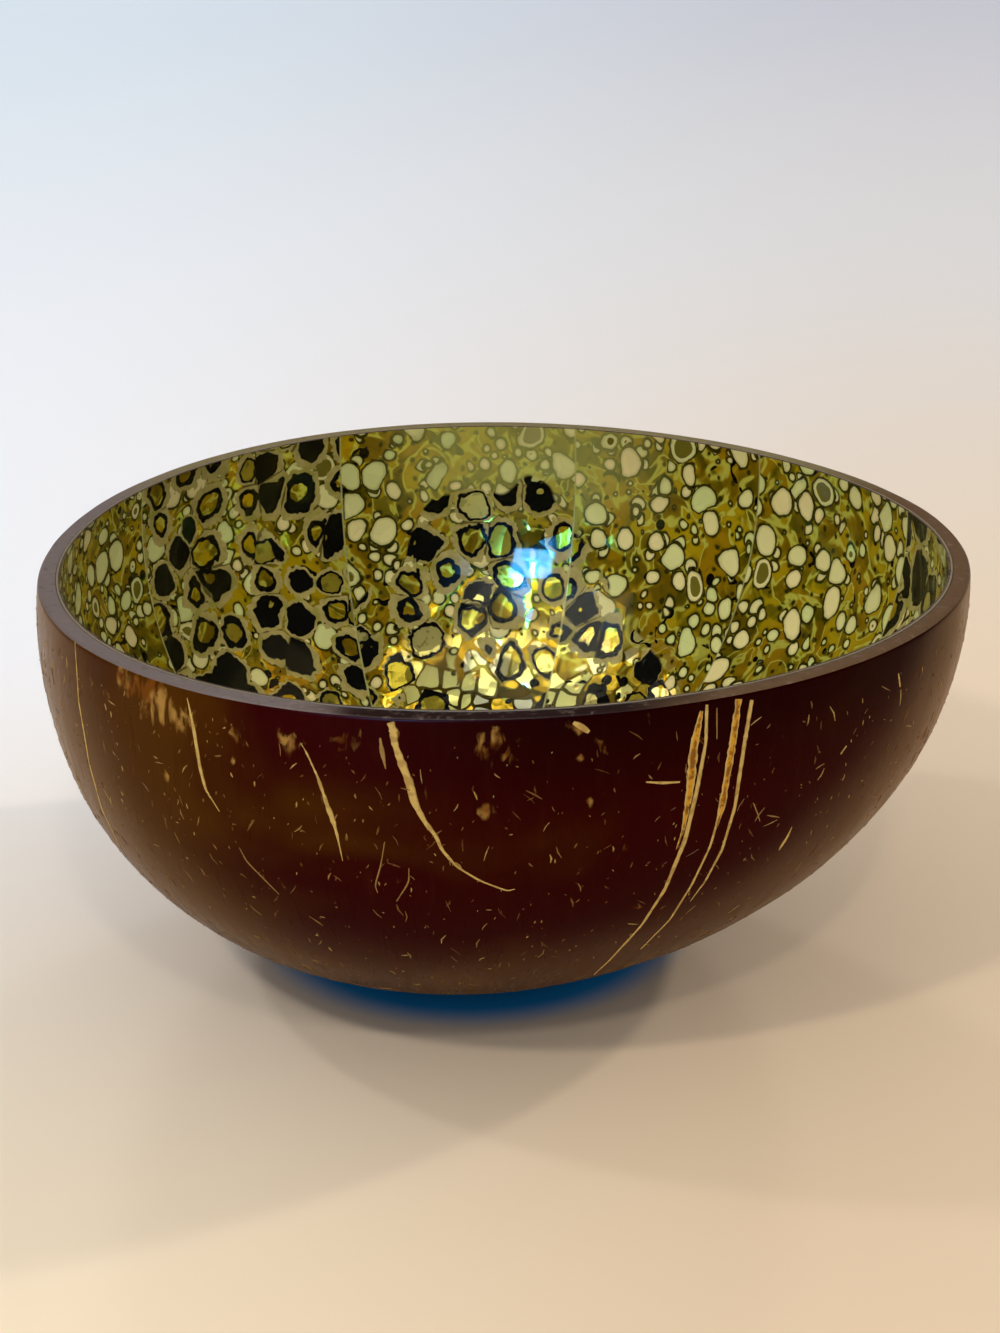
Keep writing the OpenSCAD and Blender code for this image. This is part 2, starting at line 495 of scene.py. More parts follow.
cream = mixed(tree, large_lot[1], screen(244, 224, 158), screen(210, 216, 138))
shade = rise(tree, body, 0.0, SHADE_WIDTH, 0.35, 0.0)
cream = mixed(tree, shade, cream, screen(158, 150, 72))
core = rise(tree, body, *CORE_EDGE)
is_cored = rise(tree, large_lot[2], 0.88, 0.90)
cream = mixed(tree, times(tree, core, is_cored), cream, screen(112, 102, 30))
feed(tree, gives["Color"], mixed(tree, is_pebble, colour, cream))
feed(tree, gives["Foil"], minus(tree, 1.0, is_pebble))
feed(tree, gives["Tilt"], plus(tree, marbled["Tilt"], large["Tilt"]))
print("pebble_print:", len(tree.nodes), "nodes")

# %% [markdown]
# ## The ring print
# Three panels and the round piece at the bottom show larger units, close together in a cream mortar: a
# black ring with a middle of olive, gold or cream foil. The middle lies a little aside of the ring's own
# centre, so the black is thick on one side and thin on the other, as ink that has run. The nearer Ink
# comes to 1, the larger the units are and the smaller their middles, until some are black all over.

# %% The ring print
RING_SPACING, RING_WANDER = 5.6, 3.4
RING_SHIFT = 1.5
RING_SIZES = (1.7, 2.7)
RING_CORNER = 1.7
RING_OVERLAP = 0.1
RING_WOBBLE, RING_RAGGED = 2.2, 0.5
INK_GROWS = 0.5
BROKEN_TAKES = 3.0
MIDDLE_SIZES = (0.2, 3.2)
SOFT_EDGE = (-0.05, 0.06)
INK_FILLS = 2.0
MIDDLE_STEADIER = 0.8
THINNEST_BLACK = (0.8, 0.4)
HALO_WIDTHS = (1.2, 0.4)
GOLD_NARROWS, BROKEN_NARROWS = 0.3, 0.5
BORDER_WOBBLE, BORDER_WIDTH = 0.8, 0.12

tree, given, gives = shader_group(
    "ring_print", {"Place": Vector(), "Gold": 0.0, "Broken": 0.0, "Ink": 0.0},
    {"Color": WHITE, "Foil": 0.0, "Tilt": 0.0})
ring_print = tree
place = given["Place"]
rings = use(tree, cells, Place=place, Spacing=RING_SPACING, Wander=RING_WANDER, Shift=RING_SHIFT)
ring_lot = parts(tree, rings["Lot"])
uneven = minus(tree, cloud(tree, place, scale=0.40), 0.5)
ragged = minus(tree, cloud(tree, place, scale=1.1, detail=1.0), 0.5)
wobble = times_plus(tree, uneven, RING_WOBBLE, times(tree, ragged, RING_RAGGED))
ring_size = rise(tree, ring_lot[0], 0.0, 0.9, *RING_SIZES)
ring_size = times_plus(tree, given["Ink"], INK_GROWS, ring_size)
taken = times(tree, given["Broken"], rise(tree, ring_lot[0], 0.36, 0.4, BROKEN_TAKES, 0.0))
ring_size = minus(tree, ring_size, taken)
outer = round_least(tree, minus(tree, ring_size, rings["Reach"]),
                    plus(tree, rings["Gap"], RING_OVERLAP), RING_CORNER)
outer = plus(tree, outer, wobble)
is_ring = rise(tree, outer, *INK_EDGE)
middle_size = rise(tree, ring_lot[2], 0.12, 0.42, *MIDDLE_SIZES)
middle_size = times_plus(tree, given["Ink"], -INK_FILLS, middle_size)
middle_body = minus(tree, middle_size, rings["Aside"])
middle_body = times_plus(tree, wobble, -MIDDLE_STEADIER, middle_body)
thinnest = rise(tree, ring_lot[1], 0.1, 0.8, *THINNEST_BLACK)
middle_body = lesser(tree, middle_body, minus(tree, outer, thinnest))
is_middle = rise(tree, middle_body, *SOFT_EDGE)
halo_width = rise(tree, ring_lot[1], 0.0, 1.0, *HALO_WIDTHS)
halo_width = times_plus(tree, given["Gold"], -GOLD_NARROWS, halo_width)
halo_width = times_plus(tree, given["Broken"], -BROKEN_NARROWS, halo_width)
halo = plus(tree, ragged, plus(tree, outer, halo_width))
is_halo = rise(tree, halo, *SOFT_EDGE)
border = times_plus(tree, uneven, BORDER_WOBBLE, rings["Gap"])
border = rise(tree, border, 0.0, BORDER_WIDTH, 0.85, 0.0)
between = use(tree, pebble_print, Place=place, Gold=given["Gold"], Broken=given["Broken"])
marbled = use(tree, marbled_foil, Place=place, Gold=given["Gold"], Broken=given["Broken"])
mottle = cloud(tree, place, scale=0.8, detail=3.0)
middle = mixed(tree, rise(tree, ring_lot[1], 0.50, 0.54), marbled["Color"], screen(168, 150, 44))
middle = mixed(tree, rise(tree, ring_lot[1], 0.78, 0.82), middle, screen(212, 198, 118))
middle = mixed(tree, rise(tree, mottle, 0.56, 0.66, 0.0, 0.55), middle, screen(92, 82, 12))
pale = mixed(tree, mottle, screen(138, 124, 54), screen(206, 188, 118))
pale = mixed(tree, rise(tree, uneven, 0.04, 0.16, 0.0, 0.6), pale, screen(138, 136, 40))
pale = mixed(tree, border, pale, screen(70, 64, 10))
colour = mixed(tree, is_halo, between["Color"], pale)
colour = mixed(tree, is_ring, colour, screen(10, 9, 5))
feed(tree, gives["Color"], mixed(tree, is_middle, colour, middle))
unprinted = times(tree, between["Foil"], minus(tree, 1.0, is_halo))
feed(tree, gives["Foil"], greater(tree, is_middle, unprinted))
feed(tree, gives["Tilt"], plus(tree, marbled["Tilt"], rings["Tilt"]))
print("ring_print:", len(tree.nodes), "nodes")

# %% [markdown]
# ## The two sheets of the lining
# A sheet is paper with foil under the print: the ground and the middles of the rings gleam like brass, and
# the cream parts don't. Each cell lies at its own slight tilt, so some catch a lamp and the next one stays
# dark. The pattern lies on each panel's own unrolled map, so it breaks off at the seams. Towards the
# bottom of the back wall the rings take over from the pebbles. A pale yellow-green painted sheen lies on the
# foil high in the middle of the back wall, and a painted shade darkens the left of the lining.

# %% The sheets of the lining
# Heights over the table, places from left to right and ways from the middle of the bright foil.
GOLD_HEIGHTS = (18 * MM, 46 * MM)
BROKEN_HEIGHTS = (18 * MM, 32 * MM)
BROKEN_REACHES = (18 * MM, 28 * MM)
BROKEN_X = 13 * MM
INK_HEIGHTS = (32 * MM, 50 * MM)
INK_LEFT = (-30 * MM, -12 * MM)
INK_RIGHT = (50 * MM, 58 * MM)
BACK_REACH = 30 * MM
PAINTED_SHADE_LEFT = (-55 * MM, -20 * MM)
BARE_HEIGHTS = (22 * MM, 50 * MM)
PAINTED_SHEEN_HEIGHTS = (44 * MM, 56 * MM)
PAINTED_SHEEN_REACHES = (10 * MM, 30 * MM)
TILT_HEIGHTS = (14 * MM, 36 * MM)
PATCH_X = 8 * MM
PATCH_TIP = 53 * MM
PATCH_WIDTH = 29 * MM
FLOOR_TOP = 14 * MM
PATCH_WANDER = 600 * MM ** 2
PATCH_FADE = 30 * MM ** 2
PRINT_SCALE = 0.82
SEAM_LINE = (0.10, 0.22)
CUT_LINE = 0.05 * MM
FOIL_SHARES = (0.6, 0.35)
BROKEN_FOIL_SHARE = 0.55
TILT_SHARES = (0.4, 0.2)


def sheet_material(name, ring_share):
    """The lining's sheet. ring_share is 1 where all of it has the ring print."""
    material, tree, shader = new_material(name, Roughness=0.17, Specular_IOR_Level=0.1)
    flat = scaled(tree, unrolled(tree, "sheet"), PRINT_SCALE)
    here = own_place(tree)
    x, y, z = parts(tree, here)
    gold = rise(tree, z, *GOLD_HEIGHTS, 1.0, 0.0)
    off_middle = reckon(tree, "ABSOLUTE", minus(tree, x, BROKEN_X))
    broken = times(tree, rise(tree, z, *BROKEN_HEIGHTS, 1.0, 0.0),
                   rise(tree, off_middle, *BROKEN_REACHES, 1.0, 0.0))
    pebbles = use(tree, pebble_print, Place=flat, Gold=gold, Broken=broken)
    ink = times(tree, rise(tree, z, *INK_HEIGHTS, 1.0, 0.2), rise(tree, x, *INK_LEFT, 0.9, 0.0))
    ink = greater(tree, ink, times(tree, broken, 0.8))
    ink = greater(tree, ink, rise(tree, x, *INK_RIGHT))
    ringed = use(tree, ring_print, Place=flat, Gold=gold, Broken=broken, Ink=ink)
    at_back = rise(tree, y, 0.0, BACK_REACH)
    tip = times_plus(tree, at_back, PATCH_TIP - FLOOR_TOP, FLOOR_TOP)
    sideways = reckon(tree, "POWER", minus(tree, x, PATCH_X), 2.0)
    down = times(tree, minus(tree, tip, z), PATCH_WIDTH)
    within = minus(tree, down, sideways)
    wander = minus(tree, cloud(tree, here, scale=90.0, detail=1.0), 0.5)
    within = times_plus(tree, wander, PATCH_WANDER, within)
    share = greater(tree, rise(tree, within, 0.0, PATCH_FADE), ring_share)
    colour = mixed(tree, share, pebbles["Color"], ringed["Color"])
    foil = plus(tree, times(tree, pebbles["Foil"], minus(tree, 1.0, share)),
                times(tree, ringed["Foil"], share))
    # Painted shade: the lining is darkened towards the left, where its wall is in shade.
    colour = mixed(tree, rise(tree, x, *PAINTED_SHADE_LEFT, 0.24, 0.0), colour, screen(26, 20, 0))
    seam_way = mark(tree, "seam_way")
    colour = mixed(tree, rise(tree, seam_way, *SEAM_LINE, 0.8, 0.0), colour, screen(188, 186, 116))
    bare = rise(tree, z, *BARE_HEIGHTS, *FOIL_SHARES)
    # Painted sheen: pale yellow-green is mixed into the foil high in the middle of the back wall.
    painted_sheen = times(tree, foil, rise(tree, z, *PAINTED_SHEEN_HEIGHTS, 0.0, 0.42))
    painted_sheen = times(tree, painted_sheen, rise(tree, off_middle, *PAINTED_SHEEN_REACHES, 1.0, 0.0))
    colour = mixed(tree, painted_sheen, colour, screen(236, 238, 140))
    cut_edge = rise(tree, z, BOWL_H - 2 * CUT_LINE, BOWL_H - CUT_LINE)
    colour = mixed(tree, cut_edge, colour, screen(96, 82, 66))
    feed(tree, shader.inputs["Base Color"], colour)
    bare = times(tree, bare, rise(tree, broken, 0.0, 1.0, 1.0, BROKEN_FOIL_SHARE))
    feed(tree, shader.inputs["Metallic"], times(tree, foil, bare))
    tilt = times(tree, plus(tree, pebbles["Tilt"], ringed["Tilt"]),
                 rise(tree, z, *TILT_HEIGHTS, *TILT_SHARES))
    emboss(tree, shader, 1.0, MM, tilt)
    return material


pebble_sheet = sheet_material("pebble_sheet", 0.0)
ring_sheet = sheet_material("ring_sheet", 1.0)
print("sheets:", pebble_sheet.name, "and", ring_sheet.name)

# %% [markdown]
# ## The polished shell and its sawn rim
# Polished shell is nearly black-red, browner to one side and towards the bottom, with soft clouds. Where it
# is seen from aslant, a taupe colour is mixed in as a painted sheen for the bright room mirrored there, and
# high on the right, just under the rim, a painted shade darkens it to nearly black. Remains of the husk
# show as tan blots: each vertex tells how near it is to one, and a noise frays the edge. The sawn rim is the
# same stuff unpolished, dark at the front and greyer at the sides. A painted texture could do all this, but
# noises stay sharp from anywhere.

# %% The polished shell and its sawn rim
BROWN_LEFT = (-50 * MM, 20 * MM)
BROWN_HEIGHTS = (6 * MM, 32 * MM)
SHADE_UNDER_RIM_HEIGHTS = (46 * MM, 64 * MM)
SHADE_UNDER_RIM_RIGHT = (-20 * MM, 20 * MM)
GRAZING_SHEEN_HEIGHTS = (-2 * MM, 46 * MM)
GRAIN_STRETCH = (0.55, 0.09, 1.0)
HUSK_STRETCH = (1.0, 1.0, 0.45)
FRAY = 2.4
GRAIN_DEPTH = 0.1 * MM

polished_nut, tree, shader = new_material("polished_nut", Specular_IOR_Level=0.02)
flat = unrolled(tree, "round")
here = own_place(tree)
x, y, z = parts(tree, here)
broad = cloud(tree, here, scale=30.0, detail=3.0, distortion=0.6)
streak = cloud(tree, vector_sum(tree, "MULTIPLY", flat, GRAIN_STRETCH), scale=1.0, detail=3.0, distortion=0.4)
brown = plus(tree, rise(tree, x, *BROWN_LEFT, 1.0, 0.0), rise(tree, z, *BROWN_HEIGHTS, 0.75, 0.0))
brown = times_plus(tree, minus(tree, broad, 0.58), 2.4, brown)
colour = mixed(tree, rise(tree, brown, 0.0, 1.0), screen(47, 1, 0), screen(72, 40, 0))
colour = mixed(tree, rise(tree, streak, 0.55, 0.8, 0.0, 0.1), colour, screen(84, 40, 10))
colour = mixed(tree, rise(tree, streak, 0.2, 0.42, 0.15, 0.0), colour, screen(28, 2, 0))
# Painted shade: high on the right, under the rim, the shell is darkened to nearly black.
painted_shade_under_rim = times(tree, rise(tree, z, *SHADE_UNDER_RIM_HEIGHTS, 0.0, 0.6), rise(tree, x, *SHADE_UNDER_RIM_RIGHT))
colour = mixed(tree, painted_shade_under_rim, colour, screen(8, 0, 0))
husk = mark(tree, "husk")
fray = cloud(tree, vector_sum(tree, "MULTIPLY", here, HUSK_STRETCH), scale=700.0, detail=4.0, distortion=0.5)
husk = times_plus(tree, minus(tree, fray, 0.5), FRAY, husk)
husk_colour = mixed(tree, rise(tree, cloud(tree, here, scale=260.0), 0.4, 0.6),
                    screen(112, 64, 14), screen(172, 132, 66))
colour = mixed(tree, rise(tree, husk, 0.45, 1.0, 0.0, 0.85), colour, husk_colour)
# Painted sheen: taupe is mixed in where the shell is seen from aslant, fading out towards the table.
aslant = place_node(tree, "LayerWeight", Blend=0.5).outputs["Facing"]
painted_grazing_sheen = times(tree, rise(tree, aslant, 0.46, 0.98, 0.0, 0.72), rise(tree, z, *GRAZING_SHEEN_HEIGHTS))
colour = mixed(tree, painted_grazing_sheen, colour, screen(144, 110, 68))
feed(tree, shader.inputs["Base Color"], colour)
feed(tree, shader.inputs["Roughness"], rise(tree, streak, 0.3, 0.7, 0.26, 0.36))
emboss(tree, shader, 0.25, GRAIN_DEPTH, cloud(tree, here, scale=700.0))

FRONT_X = 10 * MM
FRONT_Y = -55 * MM
FRONT_REACHES = (12 * MM, 30 * MM)
X_WOBBLE = 30 * MM
SIDE_BAND = (-30 * MM, 30 * MM)
BACK_BAND = (20 * MM, 50 * MM)
sawn_rim, tree, shader = new_material("sawn_rim", Roughness=0.42, Specular_IOR_Level=0.2)
here = own_place(tree)
x, y, z = parts(tree, here)
fine = cloud(tree, here, scale=900.0, detail=3.0)
broad = cloud(tree, here, scale=60.0)
# The rim's tones change along x, which noise makes wobble: dark at the front, greyer at the sides, paler at
# the back.
wobbled_x = times_plus(tree, minus(tree, broad, 0.5), X_WOBBLE, x)
sides = mixed(tree, rise(tree, wobbled_x, *SIDE_BAND), screen(114, 102, 100), screen(98, 74, 50))
sides = mixed(tree, rise(tree, y, *BACK_BAND), sides, screen(126, 114, 78))
off_front = reckon(tree, "ABSOLUTE", minus(tree, wobbled_x, FRONT_X))
off_front = greater(tree, off_front, minus(tree, y, FRONT_Y))
colour = mixed(tree, rise(tree, off_front, *FRONT_REACHES), screen(36, 16, 10), sides)
colour = mixed(tree, rise(tree, fine, 0.55, 0.75, 0.0, 0.3), colour, screen(150, 132, 118))
colour = mixed(tree, rise(tree, fine, 0.25, 0.42, 0.4, 0.0), colour, screen(60, 38, 30))
feed(tree, shader.inputs["Base Color"], colour)
emboss(tree, shader, 0.4, GRAIN_DEPTH, fine)
print("polished_nut and sawn_rim ready")

# %% [markdown]
# ## The blond fibres, the filler and the lacquer
# Some fibres are blond, some dull brown, and the two widest have a golden core. Marks on their vertices
# say which. The filler is a plain tan paste. The lacquer could be glass, but light that comes in through
# glass renders slowly and with grain, so it is a mirror whose share grows where it is seen from aslant.
# The rest of it lets everything through.

# %% The blond fibres, the filler and the lacquer
STRAND_MARKS = ("tone", "warmth", "edge")
LACQUER_IOR = 1.18
LACQUER_WAVES = 0.3 * MM

blond_fibre, tree, shader = new_material("blond_fibre", Roughness=0.45, Specular_IOR_Level=0.05)
here = own_place(tree)
tone, warmth, edge_share = (mark(tree, key) for key in STRAND_MARKS)
blond = mixed(tree, tone, screen(84, 46, 16), screen(210, 180, 104))
mottle = cloud(tree, here, scale=800.0, detail=3.0)
gold = mixed(tree, rise(tree, mottle, 0.42, 0.58), screen(140, 84, 8), screen(206, 150, 40))
golden = times(tree, warmth, rise(tree, edge_share, 0.35, 0.8, 1.0, 0.0))
dim_edge = times(tree, minus(tree, 1.0, warmth), rise(tree, edge_share, 0.6, 1.0, 0.0, 0.6))
colour = mixed(tree, dim_edge, mixed(tree, golden, blond, gold), screen(112, 66, 28))
colour = mixed(tree, rise(tree, mottle, 0.36, 0.52, 0.45, 0.0), colour, screen(134, 94, 40))
feed(tree, shader.inputs["Base Color"], colour)

filler, tree, shader = new_material("filler", Roughness=0.55)
here = own_place(tree)
colour = mixed(tree, cloud(tree, here, scale=500.0), screen(118, 104, 82), screen(142, 128, 102))
feed(tree, shader.inputs["Base Color"], colour)

lacquer, tree, shader = new_material("clear_lacquer", Base_Color=WHITE, Metallic=1.0, Roughness=0.05)
mirror_share = place_node(tree, "Fresnel", IOR=LACQUER_IOR).outputs["Fac"]
front = minus(tree, 1.0, place_node(tree, "NewGeometry").outputs["Backfacing"])
feed(tree, shader.inputs["Alpha"], times(tree, mirror_share, front))
here = own_place(tree)
emboss(tree, shader, 0.12, LACQUER_WAVES, cloud(tree, here, scale=130.0))
FINISHES = (pebble_sheet, ring_sheet, polished_nut, sawn_rim, blond_fibre, filler, lacquer)
print("finishes:", ", ".join(finish.name for finish in FINISHES))

# %% [markdown]
# ## From a ball to a layer
# Every layer starts as a grid wrapped on a ball, welded at its seam and its pole. Its vertices then slide
# along their rays to the nut's surface. For a panel, the grid's two ends stand for the rim and for the
# edge of the round piece, whatever dip that edge has at each turn.

# %% From a ball to a layer
WELD = 1e-6
SHARP_ANGLE = math.radians(40)


def ball_patch(rings, steps, arc_end, turn_from=0.0, turn_to=2 * math.pi):
    """A patch of a unit ball, from level to arc_end under it, and from one turn to the other."""
    bm = bmesh.new()
    bmesh.ops.create_grid(bm, x_segments=steps, y_segments=rings, size=0.5)
    for vert in bm.verts:
        turn = turn_from + (turn_to - turn_from) * (vert.co.x + 0.5)
        dip = arc_end * (vert.co.y + 0.5)
        vert.co = (math.cos(dip) * math.cos(turn), math.cos(dip) * math.sin(turn), -math.sin(dip))
    bmesh.ops.remove_doubles(bm, verts=bm.verts[:], dist=WELD)
    return bm


def ball_places(verts, arc_end):
    """Each vertex's turn, and its share of the way down the arc."""
    ball = np.array([vert.co for vert in verts])
    turns = np.arctan2(ball[:, 1], ball[:, 0])
    return turns, np.arcsin(np.clip(-ball[:, 2], 0, 1)) / arc_end


def lay(verts, places):
    for vert, place in zip(verts, places):
        vert.co = place


def thicken(bm):
    """Doubles a sheet into a closed body of no thickness yet, and returns its two sets of vertices."""
    outer = bm.verts[:]
    made = bmesh.ops.extrude_face_region(bm, geom=bm.faces[:], use_keep_orig=True)
    return outer, [item for item in made["geom"] if isinstance(item, bmesh.types.BMVert)]


def as_piece(bm, name, finishes, slot, *replaced):
    """Makes the bmesh an object at the origin that rides on the bowl and stands for its CAD nodes."""
    bmesh.ops.recalc_face_normals(bm, faces=bm.faces[:])
    open_edges = sum(1 for edge in bm.edges if not edge.is_manifold)
    mesh = bpy.data.meshes.new(name)
    bm.to_mesh(mesh)
    bm.free()
    mesh.shade_smooth()
    mesh.set_sharp_from_angle(angle=SHARP_ANGLE)
    for finish in finishes:
        mesh.materials.append(finish)
    piece = bpy.data.objects.new(name, mesh)
    bpy.context.scene.collection.objects.link(piece)
    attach(piece, "root")
    if replaced:
        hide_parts(*replaced)
    mesh.calc_loop_triangles()
    print(name, len(mesh.loop_triangles), "triangles,", open_edges, "open edges")


# %% [markdown]
# ## Blots of husk
# Sanding leaves a little husk in the hollows of the skin, as tan blots. They could be painted on by hand.
# Here each is a place and a reach: those that the picture shows are given by their pixels, and some more
# are scattered over the back, which it doesn't show.

# %% Blots of husk
# Blots of husk, each as its place in the picture and its reach there, in pixels.
SEEN_BLOTS = (
    (581, 727, 13), (601, 744, 9), (579, 760, 9), (495, 744, 26), (486, 810, 13), (492, 835, 7),
    (591, 802, 8), (637, 910, 10), (152, 694, 44), (126, 680, 26), (182, 716, 28), (232, 735, 20),
    (106, 690, 9), (288, 745, 20), (340, 748, 18), (232, 760, 10), (165, 775, 12), (395, 735, 12),
)
MORE_BLOTS = 34
BLOT_REACHES = (1.2 * MM, 4.2 * MM)
BLOT_DIP_SINES = (0.03, 0.9)
OFF_SIDES = 0.05


def seen_on_skin(pixels):
    """The places on the outside of the nut that are seen at these pixels of the picture."""
    rays = np.array([look + eye_right * ((x - PICTURE_W / 2) / FOCAL_PX)
                     - eye_up * ((y - PICTURE_H / 2) / FOCAL_PX) for x, y in pixels])
    nearest = (np.array([NUT_X, 0, NUT_Z]) - np.array(eye)) @ np.array(look)
    ways = halve(lambda way: outside(np.array(eye) + rays * way[:, None], 0) > 0, len(rays), nearest)
    return np.array(eye) + rays * ways[:, None]


PIXEL = EYE_WAY / FOCAL_PX
chance = random.Random(11)
blots = [(place, reach * PIXEL)
         for place, (_, _, reach) in zip(seen_on_skin([blot[:2] for blot in SEEN_BLOTS]), SEEN_BLOTS)]
blot_turns = [chance.uniform(OFF_SIDES, math.pi - OFF_SIDES) for _ in range(MORE_BLOTS)]
blot_dips = [math.asin(chance.uniform(*BLOT_DIP_SINES)) for _ in range(MORE_BLOTS)]
blots += [(place, chance.uniform(*BLOT_REACHES)) for place in wall_points(blot_turns, blot_dips, 0)]
print(len(blots), "blots of husk")

# %% [markdown]
# ## The shell
# The outside is the fine side: 360 columns follow the ridges and carry a soft unevenness, as sanding
# leaves it. The hollow side is the same sheet, laid at the wall's depth. The faces that join the two are
# the sawn rim. A bevel eases its edges, and the lower part of the outer rounding is already polished. The
# base is cut flat so that the bowl stands.

# %% The shell
SHELL_RINGS = 110
OUTER_EASE = 0.6 * MM
INNER_EASE = 0.3 * MM
EASE_SEGMENTS = 5
SAWN_SEGMENTS = 3
RIM_SLACK = 0.001 * MM
UNEVEN = 0.12 * MM
UNEVEN_SCALE = 75.0
RIM_WAVE = 0.04 * MM
RIM_WAVE_SCALE = 260.0
RIM_BAND = 3 * MM
NUT_MIDDLE = Vector((NUT_X, 0, NUT_Z))


def sanded(place):
    """A place on the ideal skin, moved to where the uneven sanding left it."""
    near_rim = max(0.0, 1 - (BOWL_H - place.z) / RIM_BAND)
    lump = noise.noise(place * UNEVEN_SCALE) * UNEVEN
    lump += near_rim * noise.noise(place * RIM_WAVE_SCALE) * RIM_WAVE
    moved = place + (place - NUT_MIDDLE).normalized() * lump
    return Vector((moved.x, moved.y, place.z)) if BOWL_H - place.z < RIM_SLACK else moved


bm = ball_patch(SHELL_RINGS, COLUMNS, QUARTER)
husk_layer = bm.verts.layers.float.new("husk")
round_map = bm.loops.layers.uv.new("round")
for face in bm.faces:
    around = [math.atan2(loop.vert.co.y, loop.vert.co.x) for loop in face.loops]
    wraps = max(around) - min(around) > math.pi
    for loop, turn in zip(face.loops, around):
        if wraps and turn < 0:
            turn += 2 * math.pi
        loop[round_map].uv = (turn * GIRTH_R / MM, -math.asin(loop.vert.co.z) * GIRTH_R / MM)

skin, hollow = thicken(bm)
for verts, deep in ((skin, 0), (hollow, SHELL_WALL)):
    turns, shares = ball_places(verts, QUARTER)
    lay(verts, wall_points(turns, shares * QUARTER, deep))
ideal = np.array([vert.co for vert in skin])
near_blot = np.max([1 - np.linalg.norm(ideal - place, axis=1) / reach for place, reach in blots], axis=0)
for vert, share in zip(skin, near_blot):
    vert[husk_layer] = max(0.0, share)
    vert.co = sanded(vert.co)

skin, hollow = set(skin), set(hollow)
rim_faces = [face for face in bm.faces if 0 < len(skin.intersection(face.verts)) < len(face.verts)]
rim_edges = [edge for face in rim_faces for edge in face.edges]
outer_edges = [edge for edge in rim_edges if skin.issuperset(edge.verts)]
inner_edges = [edge for edge in rim_edges if hollow.issuperset(edge.verts)]
for face in rim_faces:
    face.material_index = 1
for edges, ease in ((outer_edges, OUTER_EASE), (inner_edges, INNER_EASE)):
    bm.normal_update()
    eased = bmesh.ops.bevel(bm, geom=edges, offset=ease, segments=EASE_SEGMENTS, profile=0.5,
                            affect="EDGES", material=-1)["faces"]
    sawn = {face for face in bm.faces if min(vert.co.z for vert in face.verts) > BOWL_H - RIM_SLACK}
    for _ in range(SAWN_SEGMENTS if edges is outer_edges else EASE_SEGMENTS):
        beside = {face for known in sawn for edge in known.edges for face in edge.link_faces}
        sawn |= beside.intersection(eased)
    for face in eased:
        face.material_index = 1 if face in sawn else 0
cut = bmesh.ops.bisect_plane(bm, geom=bm.verts[:] + bm.edges[:] + bm.faces[:], plane_co=(0, 0, 0),
                             plane_no=(0, 0, -1), clear_outer=True)
base_edges = [edge for edge in cut["geom_cut"] if isinstance(edge, bmesh.types.BMEdge)]
bmesh.ops.holes_fill(bm, edges=base_edges, sides=0)
as_piece(bm, "polished_shell", [polished_nut, sawn_rim], "shell", "coconut_shell")

# %% [markdown]
# ## The fibres of the husk
# Blond fibres of the husk still lie in the furrows of the shell: a few long ones that run to the pole, and
# thousands of short ends. They could be hair curves, but each is a flat closed strand, half sunk in the
# skin, because it has to be a mesh in the library. The long ones are laid where the picture shows them.

# %% The long fibres that are seen
# Each place is given in pixels of the picture, with the strand's width there.
LONG_FIBRES = {
    "left_hair": ((75, 640, 1), (79, 702, 3), (89, 762, 3), (102, 810, 3), (121, 848, 1)),
    "left_split": ((187, 697, 1), (193, 725, 5), (200, 767, 5), (206, 790, 4), (220, 812, 1)),
    "low_hair": ((239, 847, 1), (247, 862, 2.2), (265, 880, 2.2), (280, 895, 1)),
    "frayed": ((300, 742, 0.6), (306, 752, 2.5), (312, 765, 1.6), (318, 778, 4), (322, 790, 3), (327, 805, 8),
               (331, 815, 5), (336, 830, 5.5), (339, 843, 2.4), (343, 862, 0.8)),
    "great": ((390, 722, 8), (393, 730, 11), (394, 742, 8), (401, 762, 11), (409, 782, 11), (414, 802, 9),
              (425, 822, 7), (436, 836, 5), (442, 850, 4), (457, 867, 3.2), (480, 881, 2.5), (507, 891, 2.2),
              (515, 889, 1)),
    "great_branch": ((380, 737, 2), (382, 752, 6), (386, 770, 1)),
    "loop_left": ((385, 840, 1), (381, 865, 1.8), (375, 885, 1.8), (378, 893, 1)),
    "loop_right": ((409, 867, 1), (409, 882, 2), (396, 902, 1)),
    "right_core": ((702, 710, 5), (694, 747, 11), (690, 790, 10), (683, 830, 4), (676, 850, 1)),
    "right_line": ((707, 704, 4), (706, 742, 4.5), (697, 790, 6), (685, 840, 6), (665, 890, 5), (642, 925, 4),
                   (610, 960, 3.2), (592, 976, 2)),
    "twin_core": ((739, 698, 8), (734, 735, 10), (730, 760, 10), (722, 807, 9), (716, 828, 3)),
    "twin_left": ((722, 805, 3), (710, 847, 3.4), (692, 885, 3.4), (670, 920, 3), (640, 950, 2)),
    "twin_right": ((752, 699, 5), (745, 740, 6), (735, 807, 5), (722, 850, 4), (705, 882, 3), (690, 902, 1)),
    "cross_dash": ((645, 782, 2), (663, 783, 4), (681, 782, 2)),
    "red_thread": ((717, 707, 1), (717, 722, 2), (717, 740, 1)),
    "fleck_right": ((792, 825, 1), (787, 837, 5), (780, 847, 5), (779, 850, 2)),
    "fleck_rim": ((898, 672, 2), (899, 680, 5), (900, 688, 2)),
    "fleck_thin": ((753, 802, 1), (757, 812, 2.4), (760, 822, 1)),
    "fleck_side": ((847, 745, 2), (843, 750, 4), (840, 755, 2)),
    "fleck_top": ((572, 722, 4), (582, 727, 9), (590, 733, 4)),
}
GOLDEN = ("right_core", "twin_core")
DULL = ("great_branch", "loop_left", "loop_right", "red_thread", "fleck_thin", "low_hair")
